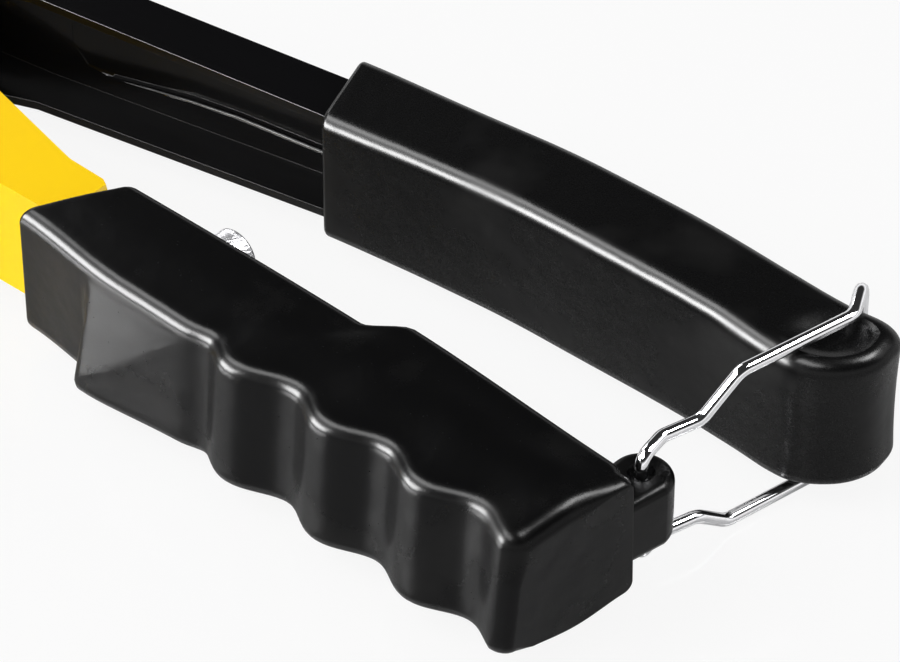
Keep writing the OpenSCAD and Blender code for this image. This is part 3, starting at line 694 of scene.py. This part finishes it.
def from_hinge(reach, degrees):
    """A point at this reach and angle from the bail's hinge."""
    turned = math.radians(degrees)
    return Vector((hinge.x + reach * math.cos(turned), hinge.y + reach * math.sin(turned)))


crossbar = from_hinge(bail_r, 85.4)
end_c = from_hinge(bail_r - wire_r - swing_gap - sleeve_end_r, 80)
front_tip = crossbar.y - wire_r - latch_gap - sleeve_tip_d + sleeve_wall
front_0 = front_tip - sleeve_rise
bends = [(cheek_x, roller_y + channel_rise), (sleeve_x, front_0),
         (palm_x, front_0 + 0.75 * sleeve_rise), (heel_x, front_0 + 0.94 * sleeve_rise),
         (channel_tip, front_tip)]


def channel_front(x):
    """The front edges of the channel's flanges."""
    if x >= bends[-1][0]:
        return bends[-1][1]
    for (x0, y0), (x1, y1) in zip(bends, bends[1:]):
        if x <= x1:
            return mix(y0, y1, (x - x0) / (x1 - x0))


def sleeve_front(x):
    """The channel's line, with its bends rounded over, less the wall of the sleeve."""
    near = [channel_front(x + step) for step in range(-7, 8, 2)]
    return sum(near) / len(near) - sleeve_wall


def sleeve_depth(x):
    """How deep the sleeve is from front to back."""
    depth = mix(sleeve_mouth_d, sleeve_d, smooth(x, sleeve_x - 4, sleeve_x + 30))
    return depth - sleeve_taper * smooth(x, sleeve_x + 64, crossbar.x)


print("sleeve front at its mouth:", round(sleeve_front(sleeve_x), 1), "end centre:", end_c)

# %% [markdown]
# ## The sleeve of the lever
# Half an outline is enough, since the sleeve is the same on both sides of its middle. It has
# 3 mm corners, a side wall that is waisted near the end, and a shallow dish for the thumb in
# the top and bottom of the round end. The straight part is grown from the mouth to the centre
# of the end. The end itself is that last half outline, spun half a turn about its centre. It is
# then drawn out a little on its inner corner, and its underside is lifted a little.

# %% Lever sleeve: half an outline
sleeve_half, belly_h, tip_drop, waist_h, dish_h = 14.2, 0.7, 0.3, 0.25, 1.25
mouth_slant, end_slant = -0.35, 0.3


def dish(x, u):
    """Depth of the thumb dish at a point x along and u across the sleeve."""
    away = math.hypot(x - end_c.x - 0.3, u)
    return dish_h * (1 - smooth(away, 2.5, 8.6))


def half_outline(x, w):
    """From the middle of the top, over the side, to the middle of the bottom, as (u, z)."""
    height = sleeve_half + belly_h * smooth(x, sleeve_x, sleeve_x + 60)
    height -= tip_drop * smooth(x, hinge.x - 10, hinge.x)
    waist = waist_h * smooth(x, sleeve_x + 70, end_c.x)
    top = [((w - corner) * step / 12, height) for step in range(12)]
    top = [(u, z - dish(x, u)) for u, z in top]
    edge = [(w - corner + corner * math.sin(math.radians(a)),
             height - corner + corner * math.cos(math.radians(a))) for a in range(0, 91, 9)]
    straight = height - corner
    wall = [(w - waist * (1 - t * t), straight * t) for t in (1 - s / 6 for s in range(1, 12))]
    upper = top + edge
    return upper + wall + [(u, -z) for u, z in reversed(upper)]


def sleeve_ring(x, inset=0.0, reach=0.0):
    """A whole outline of the sleeve, leaning as its mouth and its end do."""
    blend = smooth(x, hinge.x - 14, end_c.x)
    middle = mix(sleeve_front(x) + sleeve_depth(x) / 2, end_c.y, blend)
    w = mix(sleeve_depth(x) / 2, sleeve_end_r, blend)
    half = half_outline(x, w)
    ring = [(middle + u, z) for u, z in half] + [(middle - u, z) for u, z in reversed(half[1:-1])]
    if inset:
        ring = shrink(ring[::-1], inset)[::-1]
    slant = sleeve_slant(x)
    return [(x + reach + slant * (y - middle), y, z) for y, z in ring]


def sleeve_slant(x):
    """How far an outline leans back at the mouth and forward towards the end."""
    slant = mouth_slant * (1 - smooth(x, sleeve_x, sleeve_x + 26))
    return slant + end_slant * smooth(x, sleeve_x + 60, hinge.x - 4)


print("points in half an outline:", len(half_outline(end_c.x, sleeve_end_r)))

# %% Lever sleeve: straight part and round end
sleeve_bm = bmesh.new()
lip, lip_steps, sleeve_steps = 1.0, 4, 90
start = sleeve_x - 1.5 + lip
outlines = [sleeve_ring(start, lip * (1 - math.sin(a)), -lip * math.cos(a))
            for a in (math.pi / 2 * step / lip_steps for step in range(lip_steps))]
outlines += [sleeve_ring(mix(start, end_c.x, (step / sleeve_steps) ** 0.9))
             for step in range(sleeve_steps + 1)]
last_face, rings = grow(sleeve_bm, outlines)
sleeve_bm.faces.remove(last_face)
spun_verts = rings[-1][:len(half_outline(end_c.x, sleeve_end_r))]
slant = sleeve_slant(end_c.x)
for vert in rings[-1]:
    vert.co.x -= slant * (vert.co.y - end_c.y * MM)
spun_edges = [edge for edge in sleeve_bm.edges
              if edge.verts[0] in spun_verts and edge.verts[1] in spun_verts]
straight = set(sleeve_bm.verts) - set(rings[-1])
bmesh.ops.spin(sleeve_bm, geom=spun_edges + spun_verts, cent=(end_c.x * MM, end_c.y * MM, 0),
               axis=(0, 0, 1), dvec=(0, 0, 0), angle=-math.pi, steps=36, use_merge=False)
bmesh.ops.remove_doubles(sleeve_bm, verts=sleeve_bm.verts, dist=2e-6)

# %% Lever sleeve: fuller corner and lifted underside
centre = Vector((end_c.x, end_c.y)) * MM
corner_reach, corner_share, lift_share = 14, 0.095, 0.07
for vert in sleeve_bm.verts:
    if vert not in straight:
        vert.co.x += slant * (vert.co.y - end_c.y * MM)
    spoke = vert.co.xy - centre
    if 0 < spoke.length < corner_reach * MM:
        turned = math.degrees(math.atan2(spoke.y, spoke.x))
        fuller = 1 + corner_share * smooth(turned, 22, 50) * (1 - smooth(turned, 52, 108))
        vert.co.xy = centre + spoke * fuller
    if vert.co.z < 0:
        vert.co.z *= 1 - lift_share * smooth(vert.co.x / MM, hinge.x, end_c.x + 6)
bmesh.ops.recalc_face_normals(sleeve_bm, faces=sleeve_bm.faces)
print("open edges:", sum(not edge.is_manifold for edge in sleeve_bm.edges))

# %% [markdown]
# ## The mouth of the sleeve
# The sleeve is hollow where the channel goes in. The pocket is a plain block that follows the
# channel, with a little room all round, and it goes through to just before the round end. A
# shallow step in it takes the strip that is raised behind the web.

# %% Lever sleeve: pocket and finish
channel_d, channel_half, channel_tip_half = 10.5, 13.1, 11.4
strip_half, strip_end_half, strip_len, strip_h = 5.9, 6.9, 45.6, 1.5


def web_back(x):
    """The back of the channel's web, with its room in the sleeve."""
    deep = channel_d + 2.1 * smooth(x, sleeve_x, sleeve_x + 26)
    deep -= 0.8 * smooth(x, heel_x, channel_tip)
    return channel_front(x) + deep + fit_room


def pocket_ring(x):
    """The outline of the pocket at x."""
    half = mix(channel_half, channel_tip_half, smooth(x, cheek_x - 4, sleeve_x)) + fit_room
    return bar_ring(x, channel_front(x) - fit_room, web_back(x), half)


def strip_ring(x):
    """The outline of the step for the raised strip at x."""
    half = mix(strip_half, strip_end_half, (x - grip_x + 5) / strip_len) + fit_room
    return bar_ring(x, web_back(x) - 1, web_back(x) + strip_h, half)


pocket_bm, strip_bm = bmesh.new(), bmesh.new()
grow(pocket_bm, [pocket_ring(x) for x in (sleeve_x - 12, sleeve_x, sleeve_x + 13, sleeve_x + 26,
                                          palm_x, heel_x, hinge.x - 2 + fit_room)])
grow(strip_bm, [strip_ring(x) for x in (sleeve_x - 11, sleeve_x, sleeve_x + 13, sleeve_x + 21.3)])
sleeve_bm = cut(sleeve_bm, pocket_bm, strip_bm)
finish_piece(sleeve_bm, "lever_sleeve", "lever", "sleeve_vinyl", ["lever_grip"])

# %% [markdown]
# ## The bail
# The bail is one length of spring wire bent in both directions. Its path is a row of corners,
# each with a bending radius. The corners are rounded first, so that the path becomes a row of
# close points. A circle is then grown along the path. At each point it turns just as much as
# the path does, which keeps it from twisting.

# %% Round the corners of a wire's path
def rounded_path(corners, steps=8):
    """Points along a path of (x, y, z, radius) corners, whose bends are arcs."""
    spots = [Vector(corner[:3]) for corner in corners]
    path = [spots[0]]
    for i in range(1, len(spots) - 1):
        into = (spots[i] - spots[i - 1]).normalized()
        out = (spots[i + 1] - spots[i]).normalized()
        turned = into.angle(out)
        reach = corners[i][3] * math.tan(turned / 2)
        centre = spots[i] + (out - into).normalized() * corners[i][3] / math.cos(turned / 2)
        spoke, axis = spots[i] - into * reach - centre, into.cross(out)
        path += [centre + Matrix.Rotation(turned * step / steps, 3, axis) @ spoke
                 for step in range(steps + 1)]
    return path + [spots[-1]]


def sweep(bm, path, radius, sides):
    """Grows a round wire along a path of points (in mm)."""
    along = [(b - a).normalized() for a, b in zip(path, path[1:])]
    along = [along[0]] + [(a + b).normalized() for a, b in zip(along, along[1:])] + [along[-1]]
    across, rings = along[0].orthogonal().normalized(), []
    for i, (spot, way) in enumerate(zip(path, along)):
        if i:
            across = along[i - 1].rotation_difference(way) @ across
        across = (across - across.dot(way) * way).normalized()
        third = way.cross(across)
        turns = [math.tau * side / sides for side in range(sides)]
        rings.append([spot + radius * (math.cos(a) * across + math.sin(a) * third) for a in turns])
    grow(bm, rings)


# %% Bail
bail_half = 16.4


def bail_arm(side):
    """One arm from inside the lug to the crossbar; the lower one stands off a little more."""
    x, y = hinge.x, hinge.y
    waist, ramp = (12.2, 19.6) if side < 0 else (10, 21.6)
    corners = [(x, y, 1, 0), (x, y, waist, 2.2), (x - 1, y + 6.3, waist, 4),
               (x + 1.2, y + 13.7, waist, 4), (x + 2.8, y + ramp, bail_half, 4),
               (x + 8.05, y + bail_r - 7.5, bail_half, 4), (crossbar.x, crossbar.y, bail_half, 2.6)]
    return [(a, b, side * c, r) for a, b, c, r in corners]


bail_bm = bmesh.new()
bail_path = rounded_path(bail_arm(1) + bail_arm(-1)[::-1])
sweep(bail_bm, bail_path, wire_r, sides=20)
finish_piece(bail_bm, "bail_wire", "bail", "chromed_wire", ["wire_bail"], weighted=False)
print("wire length in mm:", round(sum((b - a).length for a, b in zip(bail_path, bail_path[1:]))))

# %% [markdown]
# ## The return spring
# The spring lifts the ram when the lever is let go. It is wound a little closer at both ends
# than in the middle.

# %% Return spring
spring_low, spring_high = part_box("return_spring")
spring_wire, spring_turns = 1.4, 4.5
coil_r = (spring_high.x - spring_low.x) / 2 / MM - spring_wire / 2
coil_low = spring_low.y / MM + spring_wire / 2
coil_high = spring_high.y / MM - spring_wire / 2
coil, coil_steps, closeness = [], 180, 0.35
for step in range(coil_steps + 1):
    share = step / coil_steps
    a = math.tau * spring_turns * share
    y = mix(coil_low, coil_high, mix(share, smooth(share, 0, 1), closeness))
    coil.append(Vector((coil_r * math.cos(a), y, coil_r * math.sin(a))))
spring_bm = bmesh.new()
sweep(spring_bm, coil, spring_wire / 2, sides=14)
return_spring = finish_piece(spring_bm, "coil_spring", "frame", "spring_steel", ["return_spring"],
                             weighted=False)
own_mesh(return_spring)

# %% [markdown]
# ## The spare die
# A second die is kept in the fixed grip. It is a small post with a knurled side, so that wet or
# oily fingers can screw it out. Every other point of each ring stands in a little, one point
# further along on the next ring, which makes the diamonds of a knurl.

# %% Spare die
post_low, post_high = spare_low.y / MM, spare_high.y / MM
post_r = (spare_high.x - spare_low.x) / 2 / MM
post_len = 12.35
seat_y = post_high - post_len
knurl_depth, knurl_rows, sides_round, post_extra = 0.3, 34, 144, 0.9


def post_ring(y, radius, knurl=0.0, shift=0):
    """A ring of the post; a knurled one has every other point further in."""
    ring = []
    for side in range(sides_round):
        a = math.tau * side / sides_round
        depth = knurl * abs(((side + shift) % 4) - 2) / 2
        ring.append((spare_x + (radius - depth) * math.cos(a), y, (radius - depth) * math.sin(a)))
    return ring


post_high += post_extra
rows = [post_ring(y, radius) for y, radius in (
    (post_low, 2.6), (post_low + 0.4, 3), (seat_y, 3), (seat_y, post_r - 0.3),
    (seat_y + 0.3, post_r))]
for row in range(knurl_rows + 1):
    y = mix(seat_y + 0.5, post_high - post_extra, row / knurl_rows)
    rows.append(post_ring(y, post_r, knurl_depth, row))
rows += [post_ring(post_high - drop, radius) for drop, radius in (
    (0.6, post_r), (0.2, post_r), (0, post_r - 0.2), (0, 3.15), (0.15, 3), (1.35, 2.9), (1.5, 2.7))]
post_bm = bmesh.new()
grow(post_bm, rows)
finish_piece(post_bm, "knurled_spare_die", "frame", "die_steel", ["spare_die"], sharp=50)

# %% [markdown]
# ## Rounding the machined parts
# The casting, the channel and the small parts already have their right shapes in the model, but
# their edges are knife sharp, and a sharp edge never shows a highlight. So each one is copied,
# its loose triangles are merged, flat triangles become flat faces, and every sharp edge gets a
# bevel of its own size. The lever's web has a pressed groove, whose rims are rounder than a cut
# edge. The groove runs out towards the head, as a press tool leaves it.

# %% A copy of a part with rounded edges
flat_within, sharp_from = math.radians(1.5), math.radians(25)


def rounded_copy(node, size, rim_size):
    """A bmesh copy of a CAD node with bevelled edges (in mm); rims are those of a groove."""
    bm = bmesh.new()
    bm.from_mesh(frame["nodes"][node].data)
    bmesh.ops.remove_doubles(bm, verts=bm.verts, dist=1e-6)
    bmesh.ops.dissolve_limit(bm, angle_limit=flat_within, verts=bm.verts, edges=bm.edges)
    faded = fade_groove(bm) if rim_size else set()
    sharp = [edge for edge in bm.edges if edge.is_manifold and not faded & set(edge.verts)
             and edge.calc_face_angle() > sharp_from]
    rims = [edge for edge in sharp if rim_size and groove_rim(edge)]
    plain = [edge for edge in sharp if edge not in rims]
    for edges, offset in ((rims, rim_size), (plain, size)):
        edges = [edge for edge in edges if edge.is_valid]
        bmesh.ops.bevel(bm, geom=edges, offset=offset * MM, affect="EDGES", segments=3,
                        profile=0.5, material=-1, clamp_overlap=True)
    return bm


sheet, groove_half, groove_h = 1.8, 9, 1.7
fade_from, fade_to, least_share = 43, 55, 0.06


def fade_groove(bm):
    """Lets the groove in the channel's web, and the strip behind it, fade out at the head end."""
    faded = set()
    for vert in bm.verts:
        x, y, z = vert.co / MM
        outer = web_back(x) - fit_room
        if abs(z) < groove_half and x < 50 and outer - 2 < y < outer + groove_h:
            faded.add(vert)
        for face in (outer - sheet, outer):
            if abs(z) < groove_half and x < 70 and face + 0.2 < y < face + groove_h:
                share = max(least_share, smooth(x, fade_from, fade_to))
                vert.co.y = (face + share * (y - face)) * MM
                break
    return faded


def groove_rim(edge):
    """Whether an edge of the channel is the rim of the groove in its web."""
    def off_web(vert):
        return abs(vert.co.y / MM - web_back(vert.co.x / MM) + fit_room + sheet)

    return all(abs(vert.co.z) < 8 * MM and off_web(vert) < 0.15 for vert in edge.verts)


# %% Machined parts
body_of = {node: body for body, nodes in frame["record"]["behaviour"]["bodies"].items()
           for node in nodes}
edge_sizes = {"frame_casting": 1.0, "lever_channel": 0.55, "ram_bush": 0.25, "anvil_die": 0.35,
              "anvil_lock_nut": 0.4, "ram_key_screw": 0.15, "pivot_pin": 0.45,
              "pivot_washers": 0.12, "pivot_clip": 0.12, "roller_pin": 0.3,
              "roller_spacers": 0.2, "roller_clips": 0.12, "press_roller": 0.5, "ram": 0.35,
              "ram_die": 0.4, "ram_die_screw": 0.12}
for node, size in edge_sizes.items():
    part_bm = rounded_copy(node, size, rim_size=0.8 if node == "lever_channel" else 0)
    finish_piece(part_bm, node + "_finished", body_of[node], slot_of[node], [node], turn_out=False)

# %% [markdown]
# ## Floor, room and lamps
# The floor is a white sheet with a little gloss. It is nearly white to the camera and keeps the
# soft shadow of the tool. The room is white near the horizon in reflections and dark overhead.
# Black gloss needs that: it shows its shape by what it mirrors. Two soft lamps, at the front
# left and behind the right end, light the tool at a plain level. Four more are seen in gloss
# only. They draw the long highlights along the rounded edges, and add no light to matt
# surfaces, so the colours stay as they are.

# %% Floor
floor_bm = bmesh.new()
bmesh.ops.create_grid(floor_bm, x_segments=8, y_segments=8, size=6.0)
floor_z = cad_low.z - 0.0002
bmesh.ops.translate(floor_bm, verts=floor_bm.verts, vec=(0, 0, floor_z))
floor_mesh = bpy.data.meshes.new("floor")
floor_bm.to_mesh(floor_mesh)
floor_bm.free()
floor = bpy.data.objects.new("floor", floor_mesh)
bpy.context.scene.collection.objects.link(floor)
floor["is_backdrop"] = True
print("floor at z in mm:", round(floor_z / MM, 2))


# %% The floor's white sheet
def light_path(wiring, *rays):
    """1 for any of the named kinds of ray, else 0."""
    total = sum(wiring.node("LightPath", {}, {}, ray) for ray in rays)
    return total.math("MINIMUM", total, 1)


white, camera_share, gloss_share = (1, 1, 1, 1), 0.9, 0.12
paper = Finish("white_sheet", Roughness=0.12, IOR=1.5)
mottle = paper.noise(0.01, detail=2)
paper.set("Base Color", paper.blend(mottle, (0.66, 0.66, 0.66, 1), (0.7, 0.7, 0.7, 1)))
glow = paper.node("Emission", {}, {"Color": white, "Strength": 1.0})
paper_shader = Signal(paper, paper.shader.outputs["BSDF"])
glowing = camera_share * light_path(paper, "Is Camera Ray") + gloss_share * light_path(
    paper, "Is Glossy Ray", "Is Transmission Ray")
mixed = paper.node("MixShader", {}, {0: glowing, 1: paper_shader, 2: glow})
paper.join(paper.tree.nodes["Material Output"].inputs["Surface"], mixed)
floor.data.materials.append(paper.material)
print("the sheet glows to the camera by", camera_share)

# %% Room
matt_level, horizon_level, top_level = 0.46, 1.0, 0.03
room = bpy.data.worlds.new("room")
room.use_nodes = True
bpy.context.scene.world = room
sky = Wiring(room.node_tree)
direction = sky.node("TexCoord", {}, {}, "Generated")
upward = sky.node("SeparateXYZ", {}, {0: direction}, "Z")
in_mirrors = sky.node("MapRange", {"interpolation_type": "SMOOTHSTEP"}, {
    0: upward, "From Min": 0.12, "From Max": 0.42, "To Min": horizon_level, "To Max": top_level})
mirrored = light_path(sky, "Is Glossy Ray", "Is Transmission Ray")
level = sky.node("Mix", {}, {"Factor": mirrored, "A": matt_level, "B": in_mirrors})
to_camera = light_path(sky, "Is Camera Ray")
strength = sky.node("Mix", {}, {"Factor": to_camera, "A": level, "B": 1.0})
background = room.node_tree.nodes["Background"]
sky.join(background.inputs["Color"], white)
sky.join(background.inputs["Strength"], strength)
print("the room lights matt surfaces at", matt_level)

# %% Lamps
def soft_lamp(name, way, away, width, height, radiance, gloss_only):
    """A rectangular lamp that faces the tool; radiance is how bright its surface looks."""
    light = bpy.data.lights.new(name, "AREA")
    light.shape, light.size, light.size_y = "RECTANGLE", width, height
    light.energy = radiance * math.pi * width * height
    lamp = bpy.data.objects.new(name, light)
    bpy.context.scene.collection.objects.link(lamp)
    lamp.location = look_at + Vector(way).normalized() * away
    lamp.rotation_euler = Vector(way).to_track_quat("Z", "Y").to_euler()
    lamp.visible_camera, lamp.visible_diffuse = False, not gloss_only
    print(name, "is", round(light.energy, 1), "W")


soft_lamp("front_softbox", (-0.50, -0.62, 0.80), away=1.25, width=0.95, height=0.85,
          radiance=4.3, gloss_only=False)
soft_lamp("front_gloss", (-0.55, -0.78, 0.28), away=1.2, width=0.9, height=0.46,
          radiance=75.0, gloss_only=True)
soft_lamp("high_gloss", (-0.32, -0.62, 1.22), away=1.25, width=1.7, height=0.42,
          radiance=15.0, gloss_only=True)
soft_lamp("back_softbox", (0.56, 0.56, 0.60), away=1.3, width=0.6, height=0.7,
          radiance=2.0, gloss_only=False)
soft_lamp("back_gloss", (0.37, 0.41, 0.82), away=1.28, width=0.55, height=0.3,
          radiance=36.0, gloss_only=True)
soft_lamp("left_gloss", (-0.80, 0.26, 0.46), away=1.25, width=0.5, height=0.45,
          radiance=5.0, gloss_only=True)
bpy.context.scene.view_settings.view_transform = "Standard"

# %% [markdown]
# ## Sizes and the last line
# The last cell prints how far the dressed tool reaches past the box of the model. The
# dressed tool must stay inside the box of the model.

# %% Write the sizes and finish
low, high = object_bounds()
past_low, past_high = low - cad_low, high - cad_high
print("visual less model in mm:", [round(v / MM, 2) for v in (*past_low, *past_high)])
